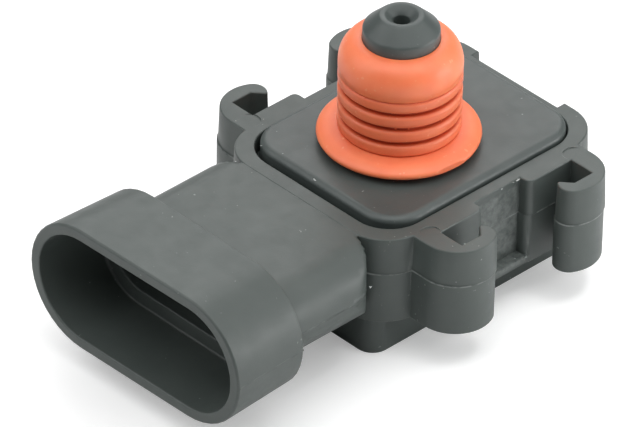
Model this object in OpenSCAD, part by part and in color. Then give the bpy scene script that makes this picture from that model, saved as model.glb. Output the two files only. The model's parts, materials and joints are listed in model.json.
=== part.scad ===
// Manifold absolute pressure sensor.
// The connector points along -X, the four clip hooks stand out along Y and the port points up.
// The origin is on the resting face, straight under the axis of the port. Millimetres.

/* [Flange] */
// Length of the flange along the connector's direction
flange_l = 30.0; // [28:0.1:34]
// Width of the flange across its two plain sides
flange_w = 23.6; // [22:0.1:27]
// Height of the flange and of the hooks
flange_h = 9.4; // [8.5:0.1:12]
// Corner radius of the flange
flange_r = 4.6; // [2:0.1:5]
// How far the middle of the flange lies from the port axis, away from the connector
flange_shift = 1.7; // [0:0.1:2.5]
// Width of the shallow recess in the end wall
end_recess_w = 11.4; // [6:0.1:13]
// Depth of the shallow recess in the end wall
end_recess_d = 1.0; // [0.4:0.1:1.1]

/* [Lower box] */
// Length of the lower box
box_l = 29.0; // [26:0.1:29.6]
// Width of the lower box
box_w = 19.9; // [19:0.1:22]
// Height of the lower box
box_h = 4.2; // [3.6:0.1:8]
// Corner radius of the lower box
box_r = 1.9; // [1:0.1:4]

/* [Clip hooks] */
// How far the pads behind the slots stand out from the flange
pad_proud = 1.3; // [0.6:0.1:2]
// Length of each pad, from the slot's end wall
pad_l = 5.6; // [4.4:0.1:6]
// Distance of the slot's end wall from the middle of the flange
slot_end = 8.5; // [8:0.1:9.2]
// Width of the slot between pad and arm
slot_w = 2.5; // [2:0.1:3.4]
// Thickness of the hook's end wall
hook_wall = 2.65; // [2.2:0.05:3]
// Thickness of the arm at its middle
arm_t = 2.0; // [1.6:0.1:2.6]
// Outer radius of the hook
hook_r = 3.95; // [3.6:0.05:4.4]
// Radius of the arm's round tip
tip_r = 1.6; // [1.4:0.05:1.8]
// Distance from the slot's end wall to the tip
tip_reach = 4.05; // [3.8:0.05:4.3]
// How far the bead on the tip narrows the slot
bead = 1.1; // [0.5:0.1:1.3]
// Height of the lip at the foot of the flange between two pads
lip_h = 0.9; // [0.5:0.1:2]

/* [Connector] */
// Distance of the socket's mouth from the port axis
mouth_x = 34.6; // [31:0.1:40]
// Outer width of the collar
collar_w = 27.8; // [27:0.1:33]
// Outer height of the collar
collar_h = 13.5; // [13:0.1:16]
// Wall of the collar
collar_wall = 1.3; // [1:0.1:1.8]
// Depth of the seal chamber, from the mouth to the ledge
chamber_d = 7.8; // [6.5:0.1:9]
// Thickness of the collar's back wall, whose front is the ledge
back_wall = 1.4; // [1:0.1:2]
// Width of the ledge round the nose opening
ledge_w = 1.6; // [1.2:0.1:2]
// Depth of the nose opening behind the ledge
nose_d = 0.7; // [0.4:0.1:1]
// Outer width of the neck
neck_w = 23.6; // [23:0.1:27]
// Outer height of the neck
neck_h = 8.2; // [7.8:0.1:9]
// Radius of the neck's corners, seen from above, where it meets the flange
neck_r = 3.9; // [2:0.1:5]
// Wall of the neck
neck_wall = 1.2; // [1:0.1:1.4]
// Depth of the pin chamber inside the neck
pin_chamber_d = 6.0; // [4:0.1:7]

/* [Terminals] */
// Width of a blade
blade_w = 1.5; // [1:0.1:2.4]
// Thickness of the terminal strip
blade_t = 0.8; // [0.5:0.05:1]
// Distance between neighbouring blades
blade_pitch = 6.0; // [4:0.1:6.5]
// How far the blade tips lie inside the socket's mouth
tip_depth = 6.0; // [5.3:0.1:6.5]
// Length of the bond pad that lies bare on the shelf
bond_pad_l = 2.4; // [1.6:0.1:2.8]

/* [Cover and port] */
// Length of the recess that takes the cover
recess_l = 26.2; // [25.4:0.1:26.6]
// Width of the recess that takes the cover
recess_w = 20.6; // [20:0.1:21]
// Depth of the recess
recess_d = 1.9; // [1.5:0.1:2.4]
// Corner radius of the recess
recess_r = 3.9; // [2.8:0.1:4.4]
// How far the cover stands above the flange
cover_proud = 0.7; // [0.4:0.1:1.2]
// Gap beside the cover on three sides
side_gap = 0.15; // [0.1:0.05:0.3]
// Gap beside the cover at the connector's end
end_gap = 0.65; // [0.3:0.05:0.75]
// Radius of the cover's rounded upper edge
cover_edge_r = 0.6; // [0.3:0.1:1]
// Width of the step that carries the cover
step_w = 2.1; // [1.9:0.1:2.6]
// Width of the adhesive channel in the step
channel_w = 1.2; // [1:0.1:1.4]
// Depth of the adhesive channel
channel_d = 0.9; // [0.7:0.1:1.4]
// Gap round the cover's tongue in the channel
tongue_gap = 0.3; // [0.2:0.05:0.35]
// Height of the port's tip above the flange
tip_h = 15.0; // [14.2:0.1:18]
// Radius of the port's tube under the seal
tube_r = 3.0; // [2.6:0.1:3.3]
// Radius of the port's head
head_r = 3.72; // [3.5:0.02:4.2]
// Height of the straight band of the head that shows above the seal
head_band_h = 1.15; // [0.6:0.05:1.3]
// Length of the cone at the tip
cone_h = 1.45; // [1:0.05:1.6]
// Outer radius of the flat rim at the tip
rim_r = 2.15; // [1.9:0.05:2.6]
// Radius of the countersink's mouth
countersink_r = 1.6; // [1.3:0.05:1.8]
// Depth of the countersink
countersink_d = 0.65; // [0.4:0.05:1]
// Radius of the pressure bore
bore_r = 0.8; // [0.6:0.05:1.2]

/* [Seal] */
// Radius of the drum that seals in the manifold's hole
drum_r = 6.0; // [5.5:0.05:6.6]
// Radius of the rounded shoulder at the top of the seal
shoulder_r = 2.3; // [1.4:0.1:2.5]
// How far the seal grips up the port's head
grip_h = 0.8; // [0.5:0.1:1.2]
// Number of fins under the drum
fins = 4; // [2:1:4]
// Distance from one fin to the next
fin_pitch = 1.66; // [1.54:0.02:1.76]
// Thickness of a fin
fin_t = 1.22; // [0.8:0.02:1.4]
// Radius of the edges of fins and drum
fin_edge_r = 0.3; // [0.1:0.05:0.4]
// Depth of the grooves between the fins
groove_d = 0.6; // [0.3:0.05:1]
// Outer radius of the skirt
skirt_r = 7.95; // [7.2:0.05:8.8]
// Thickness of the skirt's rim
skirt_t = 0.7; // [0.5:0.05:0.9]
// Gap between the skirt and the cover
skirt_gap = 0.6; // [0.4:0.1:1]
// Height of the skirt's crown above its rim
skirt_rise = 0.6; // [0.2:0.05:0.7]
// Distance from the axis to the flat trimmed on the skirt
skirt_flat = 7.78; // [7.4:0.02:8]

/* [Sensing circuit] */
// Height of the chamber's floor above the resting face
floor_z = 3.2; // [2.4:0.1:4]
// Height of the terminal shelf above the chamber's floor
shelf_h = 1.7; // [1.4:0.1:2.2]
// Length of the terminal shelf
shelf_l = 3.6; // [3:0.1:4]
// Gap between the ceramic substrate and the chamber
board_gap = 0.2; // [0.1:0.05:0.6]
// Thickness of the ceramic substrate
board_t = 0.7; // [0.5:0.05:1]
// Thickness of the adhesive under the substrate
bond_line = 0.2; // [0.1:0.05:0.4]
// Outer radius of the gel ring
ring_r = 3.6; // [3.2:0.1:4]
// Wall of the gel ring
ring_wall = 0.6; // [0.4:0.05:0.8]
// Height of the gel ring
ring_h = 1.9; // [1.8:0.1:2.4]
// Distance of the die from the port axis, away from the connector
die_x = 6.2; // [5.6:0.1:6.8]
// Side of the silicon die
die_s = 2.0; // [1.4:0.1:2.4]
// Thickness of the silicon die
die_t = 0.4; // [0.3:0.05:0.5]
// Side of the glass pedestal
pedestal_s = 2.6; // [2.4:0.1:3]
// Height of the glass pedestal
pedestal_h = 0.9; // [0.6:0.1:1]
// Thickness of the soft adhesive under the pedestal
die_bond_t = 0.1; // [0.05:0.05:0.15]
// Diameter of the bond wires to the terminals
bond_wire_d = 0.3; // [0.2:0.05:0.4]
// Distance of the wires' feet from the near edge of the substrate
wire_margin = 1.1; // [0.8:0.1:1.4]
// Height of the sealant over the terminals' feet
sealant_h = 0.8; // [0.5:0.1:1.2]
// Distance of the small components from the substrate's edges
part_margin = 0.7; // [0.4:0.1:0.9]
// Distance from one capacitor to the next
capacitor_pitch = 2.4; // [2:0.1:2.5]
// Distance from one resistor to the next
resistor_pitch = 2.7; // [2.4:0.1:3]
// Distance from the die to the signal chip along the substrate
chip_pitch = 5.8; // [5.7:0.1:6]
// Radius of the resin drop at its foot
drop_foot_r = 2.6; // [2.4:0.1:2.7]
// Height of the resin drop
drop_h = 1.2; // [1.1:0.1:1.5]

/* [Hidden] */
$fn = 96;
eps = 0.01;

// Heights
flange_top = box_h + flange_h;
step_z = flange_top - recess_d;
cover_top = flange_top + cover_proud;
tip_z = flange_top + tip_h;
cone_z = tip_z - cone_h;
seal_top = cone_z - head_band_h;
head_z = seal_top - grip_h;
shelf_z = floor_z + shelf_h;
board_z = floor_z + bond_line + board_t;

// Flange, hooks and connector
flange_x = flange_shift - flange_l / 2;
pad_face = flange_w / 2 + pad_proud;
slot_far = pad_face + slot_w;
hook_out = slot_end + hook_wall;
arc_x = hook_out - hook_r;
arc_y = slot_far + arm_t - hook_r;
tip_x = slot_end - tip_reach + tip_r;
tip_y = arc_y + sqrt((hook_r - tip_r) ^ 2 - (arc_x - tip_x) ^ 2);
pad_corner_r = 0.8;
socket_z = flange_top - neck_h / 2;
collar_x = chamber_d + back_wall - mouth_x;
ledge_x = chamber_d - mouth_x;
chamber_w = collar_w - 2 * collar_wall;
chamber_h = collar_h - 2 * collar_wall;
nose_w = chamber_w - 2 * ledge_w;
nose_h = chamber_h - 2 * ledge_w;
pin_floor_x = collar_x + pin_chamber_d;

// Cover, channel and chamber
cover_l = recess_l - side_gap - end_gap;
cover_w = recess_w - 2 * side_gap;
cover_x = flange_shift + (end_gap - side_gap) / 2;
cover_r = recess_r - side_gap;
channel_in = (step_w - channel_w) / 2 + end_gap / 4;
tongue_in = channel_in + tongue_gap;
tongue_w = channel_w - 2 * tongue_gap;
tongue_h = channel_d - tongue_gap;
chamber_l = recess_l - 2 * step_w;
cavity_w = recess_w - 2 * step_w;
cavity_r = recess_r - step_w;
cavity_x0 = flange_shift - chamber_l / 2;
cavity_x1 = flange_shift + chamber_l / 2;
shelf_x = cavity_x0 + shelf_l;

// Terminals
drop_x = (flange_x + cavity_x0) / 2;
foot_x = shelf_x - 0.3;
blade_tip_x = tip_depth - mouth_x;
blade_taper_l = 1.0;
blade_taper_t = 0.2;

// Seal
skirt_z = cover_top + skirt_gap;
skirt_top = skirt_z + skirt_t + skirt_rise;
fin_z = skirt_top;
drum_z = fin_z + (fins - 1) * fin_pitch + fin_t;
drum_h = seal_top - shoulder_r - drum_z;
skirt_flat_angle = -94;

// Circuit
board_inset = board_gap + cavity_r * (1 - sqrt(0.5));
board_x0 = shelf_x + board_gap;
board_x1 = cavity_x1 - board_inset;
board_l = board_x1 - board_x0;
board_w = cavity_w - 2 * board_inset;
wire_x0 = foot_x - bond_pad_l / 2;
wire_x1 = board_x0 + wire_margin;
sealant_x = foot_x - bond_pad_l;
chip_size = [2.8, 2.4, 0.5];
chip_x = die_x - chip_pitch;
chip_y = part_margin / 2 + drop_foot_r - board_w / 2;
drop_r = (drop_foot_r ^ 2 + drop_h ^ 2) / (2 * drop_h);
capacitor_size = [1.6, 3.2, 1.25];
capacitor_x = wire_x1 + part_margin + capacitor_size[0] / 2;
capacitor_y = board_w / 2 - part_margin - capacitor_size[1] / 2;
resistor_size = [2.0, 1.25, 0.55];
resistor_x = board_x1 - part_margin - resistor_size[0] / 2;
resistor_y = part_margin + resistor_size[1] / 2 - board_w / 2;

// Flat outlines

// Rectangle with round corners, about the middle
module rounded(l, w, r) {
    square([l - 2 * r, w], center = true);
    square([l, w - 2 * r], center = true);
    for (x = [-1, 1], y = [-1, 1])
        translate([x * (l / 2 - r), y * (w / 2 - r)])
            circle(r);
}

// Flat-topped oval of the connector, about the middle
module oval(w, h) {
    square([w - h, h], center = true);
    for (x = [-1, 1])
        translate([x * (w - h) / 2, 0])
            circle(h / 2);
}

// Rounded plate
module slab(l, w, r, h) {
    linear_extrude(h)
        rounded(l, w, r);
}

// Bar along X with the section of an oval, from x0 to x1 on the socket's axis
module oval_bar(w, h, x0, x1) {
    translate([x0, 0, socket_z])
        rotate([90, 0, 90])
            linear_extrude(x1 - x0)
                oval(w, h);
}

// Ring along the step, from one distance from the recess wall to another
module step_ring(inset, width, z, h) {
    translate([flange_shift, 0, z])
        linear_extrude(h)
            difference() {
                rounded(recess_l - 2 * inset, recess_w - 2 * inset, recess_r - inset);
                rounded(recess_l - 2 * (inset + width), recess_w - 2 * (inset + width),
                    recess_r - inset - width);
            }
}

// Housing

// One hook with its pad, in the quarter where both directions are positive
module hook_outline() {
    difference() {
        union() {
            translate([arc_x, 0])
                square([hook_out - arc_x, arc_y]);
            intersection() {
                translate([arc_x, arc_y])
                    circle(hook_r);
                polygon([[arc_x, arc_y], [tip_x, tip_y] + 2 * ([tip_x, tip_y] - [arc_x, arc_y]),
                    [arc_x, arc_y + 3 * hook_r], [arc_x + 3 * hook_r, arc_y + 3 * hook_r],
                    [arc_x + 3 * hook_r, arc_y]]);
            }
            translate([tip_x, tip_y])
                circle(tip_r);
        }
        polygon([[slot_end, pad_face], [slot_end, slot_far], [tip_x + 0.3, slot_far],
            [tip_x - tip_r + 0.95, slot_far - bead], [0, slot_far - bead], [0, pad_face]]);
    }
    translate([slot_end - pad_l, 0])
        square([pad_l, pad_face - pad_corner_r]);
    translate([slot_end - pad_l + pad_corner_r, 0])
        square([pad_l - pad_corner_r, pad_face]);
    translate([slot_end - pad_l + pad_corner_r, pad_face - pad_corner_r])
        circle(pad_corner_r);
}

// Outline of the flange from above, about its own middle
module flange_outline() {
    difference() {
        union() {
            rounded(flange_l, flange_w, flange_r);
            for (x = [0, 1], y = [0, 1])
                mirror([x, 0])
                    mirror([0, y])
                        hook_outline();
        }
        translate([flange_l / 2 - end_recess_d, -end_recess_w / 2])
            square([end_recess_d + 1, end_recess_w]);
    }
}

// Neck between flange and collar, with round corners from above
module neck() {
    intersection() {
        oval_bar(neck_w, neck_h, collar_x - eps, flange_x);
        translate([0, 0, socket_z - neck_h])
            linear_extrude(2 * neck_h)
                translate([(collar_x + flange_x) / 2 - neck_r, 0])
                    rounded(flange_x - collar_x + 2 * neck_r, neck_w + eps, neck_r);
    }
    oval_bar(neck_w - 2 * neck_r - 1, neck_h, flange_x - neck_r, flange_x + 1);
}

// One blade with its drop and bond pad, made from one strip
module terminal(y) {
    z = socket_z;
    translate([0, y + blade_w / 2, 0])
        rotate([90, 0, 0])
            linear_extrude(blade_w)
                polygon([
                    [blade_tip_x, z - blade_t / 2 + blade_taper_t],
                    [blade_tip_x + blade_taper_l, z - blade_t / 2],
                    [drop_x - blade_t / 2, z - blade_t / 2],
                    [drop_x - blade_t / 2, shelf_z - blade_t],
                    [foot_x, shelf_z - blade_t],
                    [foot_x, shelf_z],
                    [drop_x + blade_t / 2, shelf_z],
                    [drop_x + blade_t / 2, z + blade_t / 2],
                    [blade_tip_x + blade_taper_l, z + blade_t / 2],
                    [blade_tip_x, z + blade_t / 2 - blade_taper_t]]);
}

module housing() {
    color("#3c4240")
        difference() {
            union() {
                translate([flange_shift, 0, box_h])
                    linear_extrude(flange_h)
                        flange_outline();
                translate([flange_shift, 0, 0])
                    slab(box_l, box_w, box_r, box_h + 1);
                translate([flange_shift, 0, box_h + lip_h / 2])
                    cube([2 * slot_end - pad_l, 2 * pad_face, lip_h], center = true);
                neck();
                oval_bar(collar_w, collar_h, -mouth_x, collar_x);
            }
            // Recess, adhesive channel and chamber
            translate([flange_shift, 0, step_z])
                slab(recess_l, recess_w, recess_r, recess_d + 1);
            step_ring(channel_in, channel_w, step_z - channel_d, channel_d + eps);
            difference() {
                translate([flange_shift, 0, floor_z])
                    slab(chamber_l, cavity_w, cavity_r, flange_h);
                translate([cavity_x0 - 1, -cavity_w, 0])
                    cube([shelf_l + 1, 2 * cavity_w, shelf_z]);
            }
            // Socket
            oval_bar(chamber_w, chamber_h, -mouth_x - 1, ledge_x);
            oval_bar(nose_w, nose_h, ledge_x - eps, ledge_x + nose_d);
            oval_bar(neck_w - 2 * neck_wall, neck_h - 2 * neck_wall, ledge_x, pin_floor_x);
            for (y = [-blade_pitch, 0, blade_pitch])
                terminal(y);
        }
}

// Cover with the port

// Plate whose upper edge is rounded
module soft_plate(l, w, r, h, edge) {
    slab(l, w, r, h - edge);
    slab(l - 2 * edge, w - 2 * edge, r - edge, h);
    for (x = [-1, 1], y = [-1, 1])
        translate([x * (l / 2 - r), y * (w / 2 - r), h - edge])
            rotate_extrude()
                translate([r - edge, 0])
                    circle(edge);
    for (y = [-1, 1])
        translate([-(l / 2 - r), y * (w / 2 - edge), h - edge])
            rotate([0, 90, 0])
                cylinder(h = l - 2 * r, r = edge);
    for (x = [-1, 1])
        translate([x * (l / 2 - edge), w / 2 - r, h - edge])
            rotate([90, 0, 0])
                cylinder(h = w - 2 * r, r = edge);
}

module port_cover() {
    color("#444a48")
        difference() {
            union() {
                translate([cover_x, 0, step_z])
                    soft_plate(cover_l, cover_w, cover_r, cover_top - step_z, cover_edge_r);
                step_ring(tongue_in, tongue_w, step_z - tongue_h, tongue_h + eps);
                rotate_extrude()
                    polygon([[0, step_z], [tube_r, step_z], [tube_r, head_z], [head_r, head_z],
                        [head_r, cone_z], [rim_r, tip_z], [0, tip_z]]);
            }
            translate([0, 0, step_z - 1])
                cylinder(h = tip_h + recess_d + 2, r = bore_r);
            translate([0, 0, tip_z - countersink_d])
                cylinder(h = countersink_d + eps, r1 = bore_r, r2 = countersink_r);
        }
}

// Adhesive in the channel, under and beside the cover's tongue
module cover_adhesive() {
    color("#20221f")
        difference() {
            step_ring(channel_in, channel_w, step_z - channel_d, channel_d);
            step_ring(tongue_in, tongue_w, step_z - tongue_h, tongue_h + 1);
        }
}

// Seal

// Half section of a band from the tube to the drum's radius, with small round edges
module band(z, h) {
    translate([tube_r, z])
        square([drum_r - fin_edge_r - tube_r, h]);
    translate([tube_r, z + fin_edge_r])
        square([drum_r - tube_r, h - 2 * fin_edge_r]);
    for (edge_z = [z + fin_edge_r, z + h - fin_edge_r])
        translate([drum_r - fin_edge_r, edge_z])
            circle(fin_edge_r);
}

// Half section of the seal
module seal_section() {
    difference() {
        union() {
            translate([tube_r, cover_top])
                square([drum_r - groove_d - tube_r, drum_z - cover_top]);
            for (k = [0:fins - 1])
                band(fin_z + k * fin_pitch, fin_t);
            band(drum_z, drum_h + fin_edge_r);
            translate([tube_r, drum_z + drum_h])
                square([drum_r - shoulder_r - tube_r, shoulder_r]);
            translate([drum_r - shoulder_r, drum_z + drum_h])
                circle(shoulder_r);
            translate([skirt_r - skirt_t / 2, skirt_z + skirt_t / 2])
                circle(skirt_t / 2);
            polygon([[tube_r, skirt_z], [skirt_r - skirt_t / 2, skirt_z],
                [skirt_r - skirt_t / 2, skirt_z + skirt_t], [drum_r, skirt_top], [tube_r, skirt_top]]);
        }
        translate([0, head_z])
            square([head_r, grip_h + 1]);
        translate([0, cover_top - 1])
            square([tube_r, tip_h]);
    }
}

module port_seal() {
    color("#f0703f")
        difference() {
            rotate_extrude()
                seal_section();
            rotate([0, 0, skirt_flat_angle])
                translate([skirt_flat, -skirt_r, skirt_z - 1])
                    cube([skirt_r, 2 * skirt_r, skirt_t + 2]);
        }
}

// Terminals

module terminal_supply() {
    color("#b9b4a4")
        terminal(blade_pitch);
}

module terminal_signal() {
    color("#b9b4a4")
        terminal(0);
}

module terminal_ground() {
    color("#b9b4a4")
        terminal(-blade_pitch);
}

// Sealant across the shelf's far end, where the terminals come out of the chamber's end wall
module terminal_sealant() {
    color("#7f8f86")
        intersection() {
            translate([flange_shift, 0, shelf_z])
                slab(chamber_l, cavity_w, cavity_r, sealant_h);
            translate([cavity_x0 - 1, -cavity_w, shelf_z])
                cube([sealant_x - cavity_x0 + 1, 2 * cavity_w, sealant_h]);
        }
}

// Sensing circuit

// Block that stands on the substrate, about its own middle
module on_board(x, y, size) {
    translate([x - size[0] / 2, y - size[1] / 2, board_z])
        cube(size);
}

module ceramic_substrate() {
    color("#e7e4dc")
        translate([board_x0, -board_w / 2, board_z - board_t])
            cube([board_l, board_w, board_t]);
}

module substrate_adhesive() {
    color("#c8c2b0")
        translate([board_x0 + 0.5, -board_w / 2 + 0.5, floor_z])
            cube([board_l - 1, board_w - 1, bond_line]);
}

module die_adhesive() {
    color("#d8d8d0")
        on_board(die_x, 0, [pedestal_s, pedestal_s, die_bond_t]);
}

module glass_pedestal() {
    color("#cfe0dc")
        translate([0, 0, die_bond_t])
            on_board(die_x, 0, [pedestal_s, pedestal_s, pedestal_h]);
}

module pressure_die() {
    color("#6f7680")
        translate([0, 0, die_bond_t + pedestal_h])
            difference() {
                on_board(die_x, 0, [die_s, die_s, die_t]);
                on_board(die_x, 0, [die_s / 2, die_s / 2, die_t * 0.7]);
            }
}

module gel_ring() {
    color("#2b2b2b")
        translate([die_x, 0, board_z])
            difference() {
                cylinder(h = ring_h, r = ring_r);
                translate([0, 0, -1])
                    cylinder(h = ring_h + 2, r = ring_r - ring_wall);
            }
}

module protective_gel() {
    color("#dfe6e8")
        difference() {
            translate([die_x, 0, board_z])
                cylinder(h = ring_h - 0.2, r = ring_r - ring_wall);
            on_board(die_x, 0, [pedestal_s, pedestal_s, die_bond_t + pedestal_h]);
            on_board(die_x, 0, [die_s, die_s, die_bond_t + pedestal_h + die_t]);
        }
}

module signal_chip() {
    color("#55585c")
        on_board(chip_x, chip_y, chip_size);
}

// Domed drop of resin over the signal chip
module chip_encapsulant() {
    color("#1c1c1e")
        difference() {
            intersection() {
                translate([chip_x, chip_y, board_z + drop_h - drop_r])
                    sphere(drop_r);
                translate([chip_x, chip_y, board_z])
                    cylinder(h = drop_h + 1, r = drop_r);
            }
            on_board(chip_x, chip_y, chip_size);
        }
}

module supply_capacitor() {
    color("#a58a63")
        on_board(capacitor_x, capacitor_y, capacitor_size);
}

module output_capacitor() {
    color("#a58a63")
        on_board(capacitor_x + capacitor_pitch, capacitor_y, capacitor_size);
}

module filter_capacitor() {
    color("#a58a63")
        on_board(capacitor_x + 2 * capacitor_pitch, capacitor_y, capacitor_size);
}

module load_resistor() {
    color("#303236")
        on_board(resistor_x - resistor_pitch, resistor_y, resistor_size);
}

module trim_resistor() {
    color("#303236")
        on_board(resistor_x, resistor_y, resistor_size);
}

// One wire loop from a bond pad on the shelf to the substrate
module terminal_wire(y) {
    loop_r = (wire_x1 - wire_x0) / 2;
    r = bond_wire_d / 2;
    translate([wire_x0 + loop_r, y, shelf_z])
        rotate([90, 0, 0])
            rotate_extrude(angle = 180)
                translate([loop_r, 0])
                    circle(r);
    translate([wire_x1, y, board_z])
        cylinder(h = shelf_z - board_z, r = r);
}

module terminal_wires() {
    color("#c9ccd0")
        for (y = [-blade_pitch, 0, blade_pitch])
            terminal_wire(y);
}

housing();
port_cover();
port_seal();
cover_adhesive();
terminal_supply();
terminal_signal();
terminal_ground();
terminal_sealant();
ceramic_substrate();
substrate_adhesive();
die_adhesive();
glass_pedestal();
pressure_die();
gel_ring();
protective_gel();
signal_chip();
chip_encapsulant();
supply_capacitor();
output_capacitor();
filter_capacitor();
load_resistor();
trim_resistor();
terminal_wires();
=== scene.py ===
"""Looks of a manifold absolute pressure sensor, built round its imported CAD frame."""

import json
import math
import random

import bmesh
import bpy
from mathutils import Matrix, Vector, noise


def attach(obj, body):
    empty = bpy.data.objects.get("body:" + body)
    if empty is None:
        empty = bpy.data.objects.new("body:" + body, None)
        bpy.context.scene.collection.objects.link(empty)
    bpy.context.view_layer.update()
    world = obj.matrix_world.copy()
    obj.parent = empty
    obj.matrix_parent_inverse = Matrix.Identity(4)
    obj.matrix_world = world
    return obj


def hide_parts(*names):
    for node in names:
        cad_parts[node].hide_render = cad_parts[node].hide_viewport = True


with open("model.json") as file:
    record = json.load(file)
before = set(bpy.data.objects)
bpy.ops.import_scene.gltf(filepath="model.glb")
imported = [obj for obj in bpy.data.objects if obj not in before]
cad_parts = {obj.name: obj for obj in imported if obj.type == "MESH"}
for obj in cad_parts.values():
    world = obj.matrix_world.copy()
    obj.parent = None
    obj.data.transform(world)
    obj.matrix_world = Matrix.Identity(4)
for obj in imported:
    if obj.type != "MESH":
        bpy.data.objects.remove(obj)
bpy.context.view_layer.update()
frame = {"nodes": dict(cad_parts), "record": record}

MM = 0.001
BODY = "root"

# Distance in metres below which two points are one, and warp in degrees that still counts as flat
SAME_POINT = 1e-7
FLAT_ANGLE = 0.02

# Sizes below are in millimetres, in the part's own frame

# Flange with its middle at FLANGE_X
FLANGE_X = 1.7
FLANGE_L = 30.0
FLANGE_W = 23.6
FLANGE_R = 4.6
FLANGE_BOTTOM = 4.2
FLANGE_TOP = 13.6
PARTING_Z = 9.7
END_RECESS_W = 11.4
END_RECESS_D = 1.0

# Marks of the mould: seam, draft, edge radii and ejector pin prints
FLASH = 0.05
FLASH_H = 0.16
MISMATCH = -0.16
DRAFT_ABOVE = 0.12
DRAFT_BELOW = 0.02
TOP_EDGE_R = 0.15
BOTTOM_EDGE_R = 0.06
# Radius that finds the pale edges, which are partly wear and partly painted highlight
EDGE_WEAR_AND_HIGHLIGHT_R = 0.16
EJECTOR_R = 1.07
EJECTOR_AT = (9.5, 12.4)
EJECTOR_DEPTH = 0.02
EJECTOR_TILT = 0.1
FLASH_PROUD = 0.02
FLASH_FROM_MOUTH = 0.5

# Lower box
BOX_L = 29.0
BOX_W = 19.9
BOX_R = 1.9
BOX_OVERLAP = 1.5

# Hooks, the pads and the lip between them, and the rough panel on the wall
PAD_FACE = 13.1
PAD_L = 5.6
PAD_CORNER_R = 0.8
SLOT_END = 8.5
SLOT_FAR = 15.6
HOOK_OUT = 11.15
HOOK_R = 3.95
HOOK_ARC = (7.2, 13.65)
TIP_R = 1.6
TIP = (6.05, 15.7)
BEAD = 1.1
BEAD_FLAT = 0.95
BEAD_SLOPE = 0.3
LIP_H = 0.9
LIP_OVERLAP = 0.6
PANEL_MARGIN = 0.15
PANEL_Z = FLANGE_BOTTOM + FLANGE_TOP / 3
PANEL_HALF_H = 4.0

# Collar, socket and neck along X, the mouth leaning a little
MOUTH_X = -34.35
MOUTH_LEAN = 0.018
COLLAR_BACK_X = -25.4
LEDGE_X = -26.8
COLLAR_W = 28.2
COLLAR_H = 13.7
COLLAR_TAPER_W = 0.8
COLLAR_TAPER_H = 0.35
COLLAR_WALL = 1.2
MOUTH_OUTER_R = 0.26
MOUTH_INNER_R = 0.16
NOSE_W = 22.0
NOSE_H = 7.7
NOSE_D = 0.7
NOSE_TAPER = 4.0
NECK_W = 23.6
NECK_H = 8.2
NECK_R = 3.9
NECK_WALL = 1.2
NECK_END_X = -13.3
PIN_FLOOR_X = -19.4
SLOT_LIFT = 0.002
SOCKET_Z = 9.5

# Recess, adhesive channel and chamber
RECESS_L = 26.2
RECESS_W = 20.6
RECESS_R = 3.9
STEP_Z = 11.7
CHANNEL_INSET = 0.6125
CHANNEL_W = 1.2
CHANNEL_Z = 10.8
CHAMBER_L = 22.0
CHAMBER_W = 16.4
CHAMBER_R = 1.8
CHAMBER_Z = 3.2
SHELF_Z = 4.9
SHELF_X = -5.7

# Cover and port
COVER_X = 1.95
COVER_L = 25.4
COVER_W = 20.3
COVER_R = 3.75
COVER_TOP = 14.3
COVER_EDGE_W = 0.8
COVER_EDGE_H = 0.62
TONGUE_INSET = 0.9125
TONGUE_W = 0.6
TONGUE_Z = 11.1
TUBE_R = 3.0
HEAD_R = 3.72
HEAD_Z = 25.2
CONE_Z = 27.15
TIP_Z = 28.6
TIP_RIM_R = 2.15
BORE_R = 0.8
COUNTERSINK_R = 1.6
COUNTERSINK_D = 0.65

# Seal
SEAL_TOP = 26.0
DRUM_R = 6.0
FINS = 4
FIN_Z = 16.2
FIN_PITCH = 1.66
FIN_T = 1.22
FIN_EDGE_R = 0.36
SHOULDER_H = 2.6
GROOVE_R = 5.35
SKIRT_Z = 14.9
SKIRT_R = 7.95
SKIRT_FLAT = 7.78
SKIRT_FLAT_ANGLE = -94


# Outlines

def arc(cx, cy, radius, start, end, steps):
    """Points on an arc, with its ends, from one angle to another in degrees."""
    points = []
    for i in range(steps + 1):
        a = math.radians(start + (end - start) * i / steps)
        points.append((cx + radius * math.cos(a), cy + radius * math.sin(a)))
    return points


def rounded(length, width, radius, steps=10):
    """Rectangle with round corners about the middle, counter-clockwise."""
    x = length / 2 - radius
    y = width / 2 - radius
    points = arc(x, y, radius, 0, 90, steps)
    points += arc(-x, y, radius, 90, 180, steps)
    points += arc(-x, -y, radius, 180, 270, steps)
    points += arc(x, -y, radius, 270, 360, steps)
    return points


def oval(width, height):
    """Flat-topped oval about the middle, counter-clockwise."""
    steps = 20
    side = (width - height) / 2
    points = arc(side, 0, height / 2, -90, 90, steps)
    points += arc(-side, 0, height / 2, 90, 270, steps)
    return points


def moved(points, dx, dy):
    return [(x + dx, y + dy) for x, y in points]


def inset(points, distance):
    """Outline moved inwards by a distance, with mitred corners."""
    result = []
    count = len(points)
    for i in range(count):
        before = Vector(points[i - 1])
        here = Vector(points[i])
        after = Vector(points[(i + 1) % count])
        first = (here - before).normalized()
        second = (after - here).normalized()
        n1 = Vector((-first.y, first.x))
        n2 = Vector((-second.y, second.x))
        mitre = (n1 + n2) / max(1.0 + n1.dot(n2), 0.4)
        result.append(tuple(here + mitre * distance))
    return result


def clean(points):
    """Outline without points that lie on one another."""
    least = 0.004
    result = []
    for point in points:
        if not result or (Vector(point) - Vector(result[-1])).length > least:
            result.append(point)
    if (Vector(result[0]) - Vector(result[-1])).length <= least:
        result.pop()
    return result


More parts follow.
